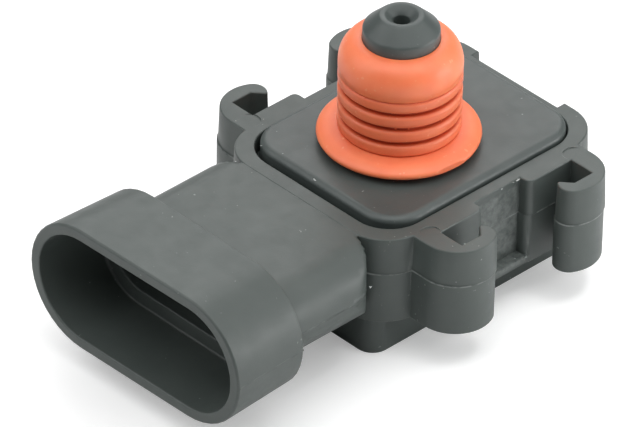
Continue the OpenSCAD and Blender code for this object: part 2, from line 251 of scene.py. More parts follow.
def hook_quarter(recessed):
    """Outline of the flange's quarter from the end wall's middle to the side's middle."""
    half_l = FLANGE_L / 2
    half_w = FLANGE_W / 2
    corner = (half_l - FLANGE_R, half_w - FLANGE_R)
    points = [(half_l, 0.0)]
    if recessed:
        floor_x = half_l - END_RECESS_D
        side_y = END_RECESS_W / 2
        points = [(floor_x, 0.0), (floor_x, side_y), (half_l, side_y)]
    wall_angle = math.degrees(math.acos((HOOK_OUT - corner[0]) / FLANGE_R))
    points += arc(corner[0], corner[1], FLANGE_R, 0, wall_angle, 10)
    tip_angle = math.degrees(math.atan2(TIP[1] - HOOK_ARC[1], TIP[0] - HOOK_ARC[0]))
    points += arc(HOOK_ARC[0], HOOK_ARC[1], HOOK_R, 0, tip_angle, 16)
    bead_y = SLOT_FAR - BEAD
    bead_angle = 360 - math.degrees(math.acos((TIP[1] - bead_y) / TIP_R)) - 90
    points += arc(TIP[0], TIP[1], TIP_R, tip_angle, bead_angle, 12)
    points += [(TIP[0] - TIP_R + BEAD_FLAT, bead_y), (TIP[0] + BEAD_SLOPE, SLOT_FAR), (SLOT_END, SLOT_FAR)]
    pad_x = SLOT_END - PAD_L
    points += [(SLOT_END, PAD_FACE)]
    points += arc(pad_x + PAD_CORNER_R, PAD_FACE - PAD_CORNER_R, PAD_CORNER_R, 90, 180, 6)
    points += [(pad_x, half_w)]
    return points


def flange_outline():
    """Outline of flange and hooks from above, counter-clockwise about the flange's middle."""
    far = hook_quarter(True)
    near = hook_quarter(False)
    points = list(far)
    points += [(-x, y) for x, y in reversed(near)]
    points += [(-x, -y) for x, y in near]
    points += [(x, -y) for x, y in reversed(far)]
    return clean(points)


def edge_profile(z0, z1, bottom_r, top_r, base=0.0):
    """Pairs of inset and height from bottom to top, with both edges round."""
    steps = 4
    pairs = []
    for i in range(steps + 1):
        a = math.radians(90 * i / steps)
        pairs.append((base + bottom_r * (1 - math.sin(a)), z0 + bottom_r * (1 - math.cos(a))))
    for i in range(steps + 1):
        a = math.radians(90 * i / steps)
        pairs.append((base + top_r * (1 - math.cos(a)), z1 - top_r * (1 - math.sin(a))))
    return pairs


def wall_inset(z):
    """How far a moulded wall lies inside its outline at a height, from its draft."""
    if z > PARTING_Z:
        return FLASH + DRAFT_ABOVE * (z - PARTING_Z) / (FLANGE_TOP - PARTING_Z)
    return FLASH + DRAFT_BELOW * (PARTING_Z - z) / PARTING_Z


def moulded_profile(z0, z1):
    """Inset, height and shift of a wall whose two mould halves meet a little out of line."""
    rounded_wall = edge_profile(z0, z1, BOTTOM_EDGE_R, TOP_EDGE_R)
    lower = [(d + wall_inset(z), z, MISMATCH) for d, z in rounded_wall if z < PARTING_Z]
    upper = [(d + wall_inset(z), z, 0.0) for d, z in rounded_wall if z > PARTING_Z]
    seam = [(FLASH, PARTING_Z - FLASH_H / 2, MISMATCH), (0.0, PARTING_Z - FLASH_H / 4, MISMATCH / 2),
            (0.0, PARTING_Z + FLASH_H / 4, MISMATCH / 2), (FLASH, PARTING_Z + FLASH_H / 2, 0.0)]
    return lower + seam + upper


# Meshes

def add_object(name, data):
    """Puts a mesh, a lamp or a camera into the scene."""
    item = bpy.data.objects.new(name, data)
    bpy.context.scene.collection.objects.link(item)
    return item


def split_warped(work):
    """Splits the faces that are not flat, which keeps cuts exact, and turns all faces one way."""
    bmesh.ops.connect_verts_nonplanar(work, angle_limit=math.radians(FLAT_ANGLE), faces=work.faces)
    bmesh.ops.recalc_face_normals(work, faces=work.faces)


def mesh_object(name, verts, faces):
    """Mesh from points in millimetres, its faces split flat and turned outwards."""
    mesh = bpy.data.meshes.new(name)
    mesh.from_pydata([tuple(c * MM for c in v) for v in verts], [], faces)
    work = bmesh.new()
    work.from_mesh(mesh)
    bmesh.ops.remove_doubles(work, verts=work.verts, dist=SAME_POINT)
    split_warped(work)
    if work.calc_volume(signed=True) < 0:
        bmesh.ops.reverse_faces(work, faces=work.faces)
    work.to_mesh(mesh)
    work.free()
    return add_object(name, mesh)


def loft(name, rings, wrap=False):
    """Skin over rings of as many points each, closed at both ends, or joined last to first."""
    count = len(rings[0])
    verts = [point for ring in rings for point in ring]
    faces = []
    spans = len(rings) if wrap else len(rings) - 1
    for r in range(spans):
        a = r * count
        b = ((r + 1) % len(rings)) * count
        for i in range(count):
            j = (i + 1) % count
            faces.append((a + i, a + j, b + j, b + i))
    if not wrap:
        faces.append(tuple(reversed(range(count))))
        last = (len(rings) - 1) * count
        faces.append(tuple(range(last, last + count)))
    return mesh_object(name, verts, faces)


def prism(name, outline, profile):
    """Upright piece from inset and height, and a shift along X where the profile has one."""
    rings = []
    for d, z, *shift in profile:
        dx = sum(shift)
        rings.append([(x + dx, y, z) for x, y in inset(outline, d)])
    return loft(name, rings)


def oval_sweep(name, stations):
    """Piece along X through flat-topped ovals, each given as x, width and height."""
    rings = []
    for x, width, height in stations:
        forward = min(1.0, max(0.0, (COLLAR_BACK_X - x) / (COLLAR_BACK_X - MOUTH_X)))
        lean = MOUTH_LEAN * forward
        rings.append([(x - lean * y, y, SOCKET_Z + z) for y, z in oval(width, height)])
    return loft(name, rings)


def lathe(name, profile, steps):
    """Piece turned about the port axis from pairs of radius and height."""
    verts = []
    faces = []
    for k in range(steps):
        a = 2 * math.pi * k / steps
        for r, z in profile:
            verts.append((r * math.cos(a), r * math.sin(a), z))
    count = len(profile)
    for k in range(steps):
        a = k * count
        b = ((k + 1) % steps) * count
        for i in range(count):
            j = (i + 1) % count
            faces.append((a + i, b + i, b + j, a + j))
    return mesh_object(name, verts, faces)


def cut(target, tool, operation="DIFFERENCE"):
    """Adds one closed piece to another or takes it away, drops slivers and deletes the tool."""
    step = target.modifiers.new("step", "BOOLEAN")
    step.operation = operation
    step.solver = "EXACT"
    step.object = tool
    depsgraph = bpy.context.evaluated_depsgraph_get()
    mesh = bpy.data.meshes.new_from_object(target.evaluated_get(depsgraph))
    work = bmesh.new()
    work.from_mesh(mesh)
    bmesh.ops.dissolve_degenerate(work, dist=SAME_POINT, edges=work.edges)
    work.to_mesh(mesh)
    work.free()
    target.modifiers.remove(step)
    old = target.data
    target.data = mesh
    bpy.data.meshes.remove(old)
    bpy.data.objects.remove(tool)


def smooth(item, angle=32):
    """Smooth shading that keeps the edges sharper than an angle."""
    item.data.shade_smooth()
    item.data.set_sharp_from_angle(angle=math.radians(angle))
    weight = item.modifiers.new("weight", "WEIGHTED_NORMAL")
    weight.keep_sharp = True
    weight.weight = 80


def place(item, material, node=None):
    """Gives a piece its body, slot and material, and lets it stand for a CAD node."""
    item.data.materials.clear()
    item.data.materials.append(material)
    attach(item, BODY)
    if node:
        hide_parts(node)


# Materials

class Nodes:
    """Short calls for building one material's node tree."""

    def __init__(self, name):
        self.material = bpy.data.materials.new(name)
        self.material.use_nodes = True
        self.tree = self.material.node_tree
        self.shader = self.tree.nodes["Principled BSDF"]
        self.place = self.add("ShaderNodeTexCoord").outputs["Object"]

    def add(self, kind, **values):
        node = self.tree.nodes.new(kind)
        for key, value in values.items():
            setattr(node, key, value)
        return node

    def link(self, source, target):
        self.tree.links.new(source, target)

    def noise(self, size_mm, detail=3.0, roughness=0.55):
        node = self.add("ShaderNodeTexNoise")
        node.inputs["Scale"].default_value = 1.0 / (size_mm * MM)
        node.inputs["Detail"].default_value = detail
        node.inputs["Roughness"].default_value = roughness
        self.link(self.place, node.inputs["Vector"])
        return node.outputs["Fac"]

    def ramp(self, source, low, high, low_value, high_value):
        node = self.add("ShaderNodeMapRange")
        node.inputs["From Min"].default_value = low
        node.inputs["From Max"].default_value = high
        node.inputs["To Min"].default_value = low_value
        node.inputs["To Max"].default_value = high_value
        self.link(source, node.inputs["Value"])
        return node.outputs["Result"]

    def times(self, first, second):
        node = self.add("ShaderNodeMath", operation="MULTIPLY")
        self.link(first, node.inputs[0])
        self.link(second, node.inputs[1])
        return node.outputs[0]

    def mix(self, factor, first, second):
        """Mix of two colours, each a colour or a socket, by a socket."""
        node = self.add("ShaderNodeMix", data_type="RGBA")
        self.link(factor, node.inputs["Factor"])
        for value, socket in ((first, node.inputs[6]), (second, node.inputs[7])):
            if isinstance(value, tuple):
                socket.default_value = (*value, 1.0)
            else:
                self.link(value, socket)
        return node.outputs[2]

    def bump(self, source, depth_mm, strength=1.0, before=None):
        node = self.add("ShaderNodeBump")
        node.inputs["Strength"].default_value = strength
        node.inputs["Distance"].default_value = depth_mm * MM
        self.link(source, node.inputs["Height"])
        if before is not None:
            self.link(before, node.inputs["Normal"])
        return node.outputs["Normal"]

    def band(self, axis, centre_mm, half_mm, soft_mm):
        """1 within a distance of a level along X, Y or Z, and 0 beyond a soft border."""
        parts = self.add("ShaderNodeSeparateXYZ")
        self.link(self.place, parts.inputs[0])
        level = self.add("ShaderNodeMath", operation="SUBTRACT")
        level.inputs[1].default_value = centre_mm * MM
        self.link(parts.outputs[axis], level.inputs[0])
        away = self.add("ShaderNodeMath", operation="ABSOLUTE")
        self.link(level.outputs[0], away.inputs[0])
        return self.ramp(away.outputs[0], half_mm * MM, (half_mm + soft_mm) * MM, 1.0, 0.0)

    def radius(self):
        """Distance from the port axis."""
        flat = self.add("ShaderNodeVectorMath", operation="MULTIPLY")
        self.link(self.place, flat.inputs[0])
        flat.inputs[1].default_value = (1.0, 1.0, 0.0)
        length = self.add("ShaderNodeVectorMath", operation="LENGTH")
        self.link(flat.outputs["Vector"], length.inputs[0])
        return length.outputs["Value"]

    def edges(self, radius_mm):
        """1 along edges and 0 on open faces."""
        bevel = self.add("ShaderNodeBevel", samples=4)
        bevel.inputs["Radius"].default_value = radius_mm * MM
        turn = self.add("ShaderNodeVectorMath", operation="DOT_PRODUCT")
        self.link(bevel.outputs["Normal"], turn.inputs[0])
        self.link(self.add("ShaderNodeNewGeometry").outputs["Normal"], turn.inputs[1])
        return self.ramp(turn.outputs["Value"], 0.99, 0.86, 0.0, 1.0)

    def set(self, name, value):
        self.shader.inputs[name].default_value = value

    def drive(self, name, source):
        self.link(source, self.shader.inputs[name])


def plastic(name, dark, light, roughness):
    """Dark glass-filled plastic, cloudy and finely grained, with pale specks and panel, pale edges that are
    partly wear and partly painted highlight, and a pale seam that is flash with a painted highlight.
    """
    m = Nodes(name)
    tone = m.mix(m.ramp(m.noise(5.0, 4.0), 0.3, 0.7, 0.0, 1.0), dark, light)
    flecked = m.ramp(m.noise(4.0, 1.0), 0.55, 0.62, 0.0, 1.0)
    # Band along the parting line, painted paler: the seam's pale flash together with a painted highlight on
    # its ridge
    seam = m.times(m.band(2, PARTING_Z, FLASH_H / 4, FLASH_H / 4), m.band(0, FLANGE_X, FLANGE_L / 2, 0.1))
    panel = m.times(m.band(0, FLANGE_X, SLOT_END - PAD_L - 0.2, 0.1), m.band(2, PANEL_Z, PANEL_HALF_H, 0.2))
    # Each place with the noise that breaks it up: pale specks, edges that are partly wear and partly painted
    # highlight, seam flash with a painted highlight, and the panel
    pale_marks_and_highlights = (
        (flecked, m.ramp(m.noise(0.42, 1.0), 0.735, 0.765, 0.0, 0.5)),
        # Edges: partly wear, partly a painted highlight where the rounded edges catch light
        (m.edges(EDGE_WEAR_AND_HIGHLIGHT_R), m.ramp(m.noise(1.3, 3.0), 0.42, 0.62, 0.0, 0.42)),
        # Seam: pale flash and a painted highlight on the ridge
        (seam, m.ramp(m.noise(1.1, 4.0), 0.42, 0.58, 0.0, 0.45)),
        (panel, m.ramp(m.noise(0.5, 4.0), 0.35, 0.65, 0.0, 0.25)),
    )
    for place_mask, breaks in pale_marks_and_highlights:
        tone = m.mix(m.times(place_mask, breaks), tone, (0.34, 0.36, 0.35))
    m.drive("Base Color", tone)
    m.drive("Roughness", m.ramp(m.noise(1.6, 5.0), 0.25, 0.75, roughness - 0.06, roughness + 0.08))
    grain = m.bump(m.noise(0.16, 2.0), 0.010, 0.5)
    m.drive("Normal", m.bump(m.noise(2.4, 3.0), 0.05, 0.3, grain))
    m.set("Specular IOR Level", 0.5)
    return m.material


def silicone():
    """Orange silicone with soft depth, faint blotches, painted shade that darkens the grooves between the
    ribs, and a satin skin.
    """
    m = Nodes("orange_silicone")
    blotch = m.ramp(m.noise(3.0, 4.0), 0.3, 0.7, 0.0, 1.0)
    tone = m.mix(blotch, (0.93, 0.195, 0.075), (0.98, 0.245, 0.1))
    ribs_h = FINS * FIN_PITCH
    among_ribs = m.band(2, FIN_Z + ribs_h / 2 - 0.3, ribs_h / 2 - 0.2, 0.2)
    # Painted shade: darker red deeper in the grooves between the ribs
    depth = m.ramp(m.radius(), GROOVE_R * MM, (DRUM_R - 0.1) * MM, 0.8, 0.25)
    tone = m.mix(m.times(depth, among_ribs), tone, (0.5, 0.05, 0.012))
    fleck = m.ramp(m.noise(0.5, 1.0), 0.72, 0.76, 0.0, 0.4)
    m.drive("Base Color", m.mix(fleck, tone, (0.95, 0.45, 0.25)))
    m.drive("Roughness", m.ramp(m.noise(1.2, 4.0), 0.25, 0.75, 0.38, 0.52))
    m.set("Subsurface Weight", 0.15)
    m.set("Subsurface Scale", 0.0006)
    m.set("Specular IOR Level", 0.65)
    m.set("Subsurface Radius", (1.0, 0.3, 0.15))
    grain = m.bump(m.noise(0.22, 2.0), 0.008, 0.5)
    m.drive("Normal", m.bump(m.noise(1.8, 2.0), 0.03, 0.4, grain))
    return m.material


def plain(name, first, second, size_mm, roughness, metallic=0.0, alpha=1.0, bump_mm=0.004):
    """Simple finish with a tone that wanders between two colours, and fine bump."""
    m = Nodes(name)
    m.drive("Base Color", m.mix(m.ramp(m.noise(size_mm), 0.3, 0.7, 0.0, 1.0), first, second))
    m.drive("Roughness", m.ramp(m.noise(size_mm / 2), 0.3, 0.7, roughness - 0.05, roughness + 0.08))
    m.set("Metallic", metallic)
    m.set("Alpha", alpha)
    m.drive("Normal", m.bump(m.noise(size_mm / 6), bump_mm, 0.5))
    return m.material


HOUSING_PLASTIC = plastic("housing_plastic", (0.062, 0.075, 0.070), (0.074, 0.088, 0.082), 0.43)
COVER_PLASTIC = plastic("cover_plastic", (0.060, 0.073, 0.070), (0.072, 0.086, 0.082), 0.40)
PALE_FLASH = plain("pale_flash", (0.26, 0.29, 0.28), (0.42, 0.45, 0.44), 0.5, 0.5)
SILICONE = silicone()

FINISHES = {
    "dark_adhesive": plain("dark_adhesive", (0.04, 0.04, 0.037), (0.06, 0.06, 0.055), 1.0, 0.5),
    "tinned_brass": plain("tinned_brass", (0.66, 0.65, 0.6), (0.75, 0.73, 0.68), 1.5, 0.28, 1.0),
    "green_sealant": plain("green_sealant", (0.3, 0.38, 0.33), (0.38, 0.45, 0.4), 1.0, 0.35),
    "alumina": plain("alumina", (0.82, 0.8, 0.76), (0.88, 0.86, 0.82), 2.0, 0.6),
    "pale_adhesive": plain("pale_adhesive", (0.66, 0.63, 0.55), (0.72, 0.7, 0.62), 1.0, 0.5),
    "pedestal_glass": plain("pedestal_glass", (0.7, 0.82, 0.8), (0.78, 0.88, 0.86), 1.0, 0.2, 0.0, 0.6),
    "silicon": plain("silicon", (0.27, 0.29, 0.33), (0.33, 0.35, 0.4), 1.0, 0.12, 0.8),
    "black_polymer": plain("black_polymer", (0.025, 0.025, 0.025), (0.035, 0.035, 0.035), 1.0, 0.45),
    "clear_gel": plain("clear_gel", (0.82, 0.86, 0.88), (0.88, 0.9, 0.92), 1.0, 0.08, 0.0, 0.4),
    "chip_resin": plain("chip_resin", (0.015, 0.015, 0.017), (0.025, 0.025, 0.028), 1.5, 0.18),
    "capacitor_body": plain("capacitor_body", (0.46, 0.34, 0.21), (0.53, 0.41, 0.27), 0.8, 0.5),
    "resistor_body": plain("resistor_body", (0.05, 0.05, 0.06), (0.07, 0.07, 0.08), 0.8, 0.35),
    "aluminium_wire": plain("aluminium_wire", (0.76, 0.77, 0.8), (0.84, 0.85, 0.87), 0.8, 0.3, 1.0),
}


# Housing

def step_ring(name, inset_by, width, z0, z1):
    """Ring that follows the recess, from one height to another."""
    outer = moved(rounded(RECESS_L - 2 * inset_by, RECESS_W - 2 * inset_by, RECESS_R - inset_by), FLANGE_X, 0)
    inner = inset(outer, width)
    rings = []
    for outline, z in ((outer, z0), (outer, z1), (inner, z1), (inner, z0)):
        rings.append([(x, y, z) for x, y in outline])
    return loft(name, rings, wrap=True)


def box_between(name, low, high):
    """Plain block between two corners."""
    outline = [(low[0], low[1]), (high[0], low[1]), (high[0], high[1]), (low[0], high[1])]
    return prism(name, outline, [(0.0, low[2]), (0.0, high[2])])


def build_housing():
    outline = moved(flange_outline(), FLANGE_X, 0)
    housing = prism("housing_shell", outline, moulded_profile(FLANGE_BOTTOM, FLANGE_TOP))

    box_outline = moved(rounded(BOX_L, BOX_W, BOX_R), FLANGE_X, 0)
    box_top = FLANGE_BOTTOM + BOX_OVERLAP
    box_profile = edge_profile(0.0, box_top, BOTTOM_EDGE_R, 0.1, FLASH)
    cut(housing, prism("box", box_outline, box_profile), "UNION")

    lip_half = SLOT_END - PAD_L + LIP_OVERLAP
    lip = [(-lip_half, -PAD_FACE), (lip_half, -PAD_FACE), (lip_half, PAD_FACE), (-lip_half, PAD_FACE)]
    lip_profile = edge_profile(FLANGE_BOTTOM + 0.02, FLANGE_BOTTOM + LIP_H, 0.2, 0.1, FLASH + 0.03)
    cut(housing, prism("lip", moved(lip, FLANGE_X, 0), lip_profile), "UNION")
    for side in (-1, 1):
        cut(housing, rough_panel(side), "UNION")

    cut(housing, build_neck(), "UNION")
    cut(housing, oval_sweep("collar", collar_stations()), "UNION")
    cut(housing, connector_flash(), "UNION")

    recess_outline = moved(rounded(RECESS_L, RECESS_W, RECESS_R), FLANGE_X, 0)
    recess_profile = [(0.0, STEP_Z), (0.0, FLANGE_TOP - 0.16), (-0.03, FLANGE_TOP - 0.08),
                      (-0.09, FLANGE_TOP - 0.02), (-0.16, FLANGE_TOP), (-0.16, FLANGE_TOP + 1.0)]
    cut(housing, prism("recess", recess_outline, recess_profile))
    cut(housing, step_ring("channel", CHANNEL_INSET, CHANNEL_W, CHANNEL_Z, STEP_Z + 0.5))
    chamber_outline = moved(rounded(CHAMBER_L, CHAMBER_W, CHAMBER_R), FLANGE_X, 0)
    cut(housing, prism("chamber", chamber_outline, [(0.0, SHELF_Z), (0.0, STEP_Z + 0.5)]))
    cut(housing, prism("well", well_outline(), [(0.0, CHAMBER_Z), (0.0, SHELF_Z + 0.5)]))
    cut(housing, oval_sweep("socket", socket_stations()))
    for node in ("terminal_supply", "terminal_signal", "terminal_ground"):
        cut(housing, terminal_slot(node))
    # Each corner of the flange with the direction towards the deeper side of its print
    for x, y, angle in ((-1, -1, 60), (1, -1, 110), (-1, 1, -20), (1, 1, 150)):
        cut(housing, ejector_mark(FLANGE_X + x * EJECTOR_AT[0], y * EJECTOR_AT[1], angle))
    smooth(housing)
    place(housing, HOUSING_PLASTIC, "housing")


def rough_panel(side):
    """Spark-eroded patch on the wall between two hooks, a little proud of it."""
    across = 36
    down = 60
    x0 = FLANGE_X - SLOT_END + PAD_L + PANEL_MARGIN
    x1 = FLANGE_X + SLOT_END - PAD_L - PANEL_MARGIN
    z0 = FLANGE_BOTTOM + LIP_H - 0.1
    z1 = FLANGE_TOP - 0.45
    rings = []
    for j in range(down + 1):
        z = z0 + (z1 - z0) * j / down
        wall = FLANGE_W / 2 - wall_inset(z)
        ring = []
        for i in range(across + 1):
            x = x0 + (x1 - x0) * i / across
            border = min(i, across - i, j, down - j) == 0
            coarse = noise.noise(Vector((x * 1.1, z * 1.1, 3.0)))
            fine = noise.noise(Vector((x * 3.3, z * 3.3, 9.0)))
            proud = -0.02 if border else 0.045 + 0.05 * coarse + 0.035 * fine
            ring.append((x, side * (wall + proud), z))
        ring += [(x1, side * (wall - 0.4), z), (x0, side * (wall - 0.4), z)]
        rings.append(ring)
    return loft("rough_panel", rings)


def connector_flash():
    """Thin sheet at the parting line that stands out all round collar and neck."""
    mouth = COLLAR_W / 2 + FLASH_PROUD
    back = (COLLAR_W - COLLAR_TAPER_W) / 2 + FLASH_PROUD
    back_x = COLLAR_BACK_X + FLASH_PROUD
    neck = NECK_W / 2 + FLASH
    half = [(MOUTH_X + FLASH_FROM_MOUTH, mouth), (back_x, back), (back_x, neck)]
    half += arc(NECK_END_X - NECK_R, neck - NECK_R, NECK_R, 90, 4, 10)
    outline = [(x, -y) for x, y in half] + [(x, y) for x, y in reversed(half)]
    z0 = SOCKET_Z - FLASH_H / 2
    return prism("flash", clean(outline), [(0.0, z0), (0.0, z0 + FLASH_H)])


def ejector_mark(x, y, angle):
    """Round tool, tipped so that only one side of the ejector pin's print is sunk."""
    steps = 40
    tip = Vector((math.cos(math.radians(angle)), math.sin(math.radians(angle))))
    bottom = []
    for px, py in arc(0.0, 0.0, EJECTOR_R, 0, 360, steps)[:-1]:
        depth = EJECTOR_DEPTH + EJECTOR_TILT * (px * tip.x + py * tip.y) / EJECTOR_R
        bottom.append((x + px, y + py, FLANGE_TOP - depth))
    top = [(px, py, FLANGE_TOP + 0.5) for px, py, _ in bottom]
    return loft("ejector", [bottom, top])


def well_outline():
    """Chamber outline beside the shelf, square at the shelf and round at the far end."""
    x1 = FLANGE_X + CHAMBER_L / 2
    y = CHAMBER_W / 2
    points = [(SHELF_X, -y)]
    points += arc(x1 - CHAMBER_R, -y + CHAMBER_R, CHAMBER_R, 270, 360, 10)
    points += arc(x1 - CHAMBER_R, y - CHAMBER_R, CHAMBER_R, 0, 90, 10)
    points += [(SHELF_X, y)]
    return clean(points)


def terminal_slot(node):
    """Copy of a terminal's solid, to leave its place free in the plastic, a hair above the shelf."""
    source = frame["nodes"][node]
    tool = add_object("slot", source.data.copy())
    work = bmesh.new()
    work.from_mesh(tool.data)
    bmesh.ops.remove_doubles(work, verts=work.verts, dist=SAME_POINT)
    bmesh.ops.translate(work, verts=work.verts, vec=(0.0, 0.0, SLOT_LIFT * MM))
    work.to_mesh(tool.data)
    work.free()
    return tool


def collar_stations():
    """Outside of the collar from its back to the mouth, slightly wider at the mouth."""
    width = COLLAR_W - COLLAR_TAPER_W
    height = COLLAR_H - COLLAR_TAPER_H
    stations = [
        (COLLAR_BACK_X, width - 0.3, height - 0.3),
        (COLLAR_BACK_X - 0.05, width - 0.1, height - 0.1),
        (COLLAR_BACK_X - 0.15, width, height),
    ]
    steps = 4
    for i in range(steps + 1):
        a = math.radians(90 * i / steps)
        shrink = 2 * MOUTH_OUTER_R * (1 - math.cos(a))
        x = MOUTH_X + MOUTH_OUTER_R * (1 - math.sin(a))
        stations.append((x, COLLAR_W - shrink, COLLAR_H - shrink))
    return stations


def socket_stations():
    """Inside of the socket from outside the mouth past the ledge to the floor of the pin chamber."""
    width = COLLAR_W - 2 * COLLAR_WALL
    height = COLLAR_H - 2 * COLLAR_WALL
    edge = MOUTH_INNER_R
    pin_w = NECK_W - 2 * NECK_WALL
    pin_h = NECK_H - 2 * NECK_WALL
    return [
        (MOUTH_X - 1.0, width + 2 * edge, height + 2 * edge),
        (MOUTH_X, width + 2 * edge, height + 2 * edge),
        (MOUTH_X + 0.05, width + 0.8 * edge, height + 0.8 * edge),
        (MOUTH_X + edge, width, height),
        (LEDGE_X - 0.3, width - 0.4, height - 0.3),
        (LEDGE_X - 0.08, width - 0.5, height - 0.4),
        (LEDGE_X, width - 0.9, height - 0.8),
        (LEDGE_X, NOSE_W + 0.3, NOSE_H + 0.3),
        (LEDGE_X + 0.05, NOSE_W + 0.1, NOSE_H + 0.1),
        (LEDGE_X + 0.15, NOSE_W, NOSE_H),
        (LEDGE_X + NOSE_D, NOSE_W, NOSE_H),
        (LEDGE_X + NOSE_D + NOSE_TAPER, pin_w, pin_h),
        (PIN_FLOOR_X, pin_w, pin_h),
    ]


def build_neck():
    """Neck from the collar to the flange, its corners round from above at the flange."""
    straight_x = NECK_END_X - NECK_R
    stations = [(COLLAR_BACK_X - 0.6, NECK_W), (straight_x, NECK_W)]
    steps = 8
    for i in range(1, steps + 1):
        a = math.radians(88 * i / steps)
        stations.append((straight_x + NECK_R * math.sin(a), NECK_W - 2 * NECK_R * (1 - math.cos(a))))
    stations.append((NECK_END_X + 1.0, stations[-1][1]))
    rings = []
    for x, width in stations:
        ring = []
        for y, z in oval(NECK_W, NECK_H - 2 * FLASH):
            limit = width / 2
            ring.append((x, max(-limit, min(limit, y)), SOCKET_Z + z))
        rings.append(ring)
    return loft_open("neck", rings)


def loft_open(name, rings):
    """Loft without the empty faces left where points of its rings fall together."""
    item = loft(name, rings)
    work = bmesh.new()
    work.from_mesh(item.data)
    bmesh.ops.dissolve_degenerate(work, dist=SAME_POINT / 10, edges=work.edges)
    split_warped(work)
    work.to_mesh(item.data)
    work.free()
    return item


# Cover and port

def port_profile():
    """Half section of the port from the plate's underside to the tip and down the bore."""
    base_z = COVER_TOP - 0.6
    sink_z = TIP_Z - COUNTERSINK_D
    return [
        (BORE_R, base_z), (TUBE_R, base_z), (TUBE_R, HEAD_Z), (HEAD_R - 0.1, HEAD_Z), (HEAD_R, HEAD_Z + 0.1),
        (HEAD_R, CONE_Z - 0.14), (HEAD_R - 0.04, CONE_Z), (HEAD_R - 0.16, CONE_Z + 0.12),
        (TIP_RIM_R + 0.14, TIP_Z - 0.14), (TIP_RIM_R + 0.03, TIP_Z - 0.05), (TIP_RIM_R - 0.08, TIP_Z),
        (COUNTERSINK_R + 0.05, TIP_Z), (COUNTERSINK_R - 0.05, TIP_Z - 0.06),
        (BORE_R + 0.05, sink_z + 0.04), (BORE_R, sink_z - 0.08),
    ]


def build_cover():
    outline = moved(rounded(COVER_L, COVER_W, COVER_R, 14), COVER_X, 0)
    profile = [(0.06, STEP_Z), (0.0, STEP_Z + 0.06)]
    steps = 8
    for i in range(steps + 1):
        a = math.radians(90 * i / steps)
        profile.append((COVER_EDGE_W * (1 - math.cos(a)), COVER_TOP - COVER_EDGE_H * (1 - math.sin(a))))
    cover = prism("cover_plate", outline, profile)
    cut(cover, step_ring("tongue", TONGUE_INSET, TONGUE_W, TONGUE_Z, STEP_Z + 0.3), "UNION")
    hole = arc(0.0, 0.0, BORE_R, 0, 360, 96)[:-1]
    cut(cover, lathe("port", port_profile(), 96), "UNION")
    cut(cover, prism("bore", hole, [(0.0, STEP_Z - 1.5), (0.0, COVER_TOP - 0.3)]))
    smooth(cover)
    place(cover, COVER_PLASTIC, "port_cover")


# Seal

def seal_profile():
    """Half section of the seal, from the inside of its foot round the skirt, ribs and shoulder."""
    points = [(TUBE_R, COVER_TOP), (5.35, COVER_TOP), (5.45, SKIRT_Z - 0.1), (5.7, SKIRT_Z - 0.02)]
    points += [(SKIRT_R - 0.35, SKIRT_Z), (SKIRT_R - 0.1, SKIRT_Z + 0.1), (SKIRT_R, SKIRT_Z + 0.3)]
    points += [(SKIRT_R - 0.06, SKIRT_Z + 0.5), (SKIRT_R - 0.25, SKIRT_Z + 0.68), (7.2, SKIRT_Z + 0.9)]
    points += [(6.6, SKIRT_Z + 1.1), (6.2, SKIRT_Z + 1.19), (5.95, FIN_Z - 0.04)]
    for k in range(FINS):
        low = FIN_Z + k * FIN_PITCH
        high = low + FIN_T
        floor_r = 5.78 if k == 0 else GROOVE_R
        points.append((floor_r, low + 0.01))
        edge_middle = DRUM_R - 0.01 - FIN_EDGE_R
        points += arc(edge_middle, low + FIN_EDGE_R, FIN_EDGE_R, -80, 0, 5)
        points += arc(edge_middle, high - FIN_EDGE_R, FIN_EDGE_R, 0, 80, 5)
        if k < FINS - 1:
            points.append((GROOVE_R, high))
    drum_z = FIN_Z + (FINS - 1) * FIN_PITCH + FIN_T
    points += [(5.76, drum_z), (DRUM_R - 0.12, drum_z + 0.05), (DRUM_R - 0.02, drum_z + 0.14)]
    shoulder_w = DRUM_R - HEAD_R - 0.06
    steps = 14
    for i in range(steps + 1):
        a = math.radians(90 * i / steps)
        points.append((DRUM_R - shoulder_w * (1 - math.cos(a)), SEAL_TOP - SHOULDER_H * (1 - math.sin(a))))
    points += [(HEAD_R, SEAL_TOP - 0.08), (HEAD_R, HEAD_Z), (TUBE_R, HEAD_Z)]
    return points


def build_seal():
    seal = lathe("seal", seal_profile(), 160)
    for vert in seal.data.vertices:
        x, y, z = (c / MM for c in vert.co)
        radius = math.hypot(x, y)
        if radius > 5.2:
            a = math.atan2(y, x)
            ripple = 0.02 * math.sin(3 * a + 1.3 * z) + 0.012 * math.sin(7 * a - 2.1 * z)
            grown = radius + min(0.0, ripple)
            vert.co.x = grown * math.cos(a) * MM
            vert.co.y = grown * math.sin(a) * MM
    flat = box_between("flat", (SKIRT_FLAT, -4.0, SKIRT_Z - 0.5), (9.0, 4.0, FIN_Z))
    flat.data.transform(Matrix.Rotation(math.radians(SKIRT_FLAT_ANGLE), 4, "Z"))
    cut(seal, flat)
    smooth(seal, 50)
    place(seal, SILICONE, "port_seal")


# Small marks

def chip(work, place_at, size):
    """Adds one irregular closed grain, flatter than its size says, to a mesh being built."""
    points = []
    for _ in range(9):
        v = Vector([random.uniform(-1, 1) for _ in range(3)]).normalized()
        v = Vector((v.x * size[0], v.y * size[1], v.z * size[2] * 0.5)) * random.uniform(0.35, 0.5)
        points.append(work.verts.new((Vector(place_at) + v) * MM))
    hull = bmesh.ops.convex_hull(work, input=points)
    loose = {e for e in hull["geom_interior"] + hull["geom_unused"] if isinstance(e, bmesh.types.BMVert)}
    bmesh.ops.delete(work, geom=list(loose), context="VERTS")


def build_chips(name, places, material):
    """Small burrs and dust grains, each given as place and size."""
    work = bmesh.new()
    for place_at, size in places:
        chip(work, place_at, size)
    mesh = bpy.data.meshes.new(name)
    bmesh.ops.recalc_face_normals(work, faces=work.faces)
    work.to_mesh(mesh)
    work.free()
    place(add_object(name, mesh), material)


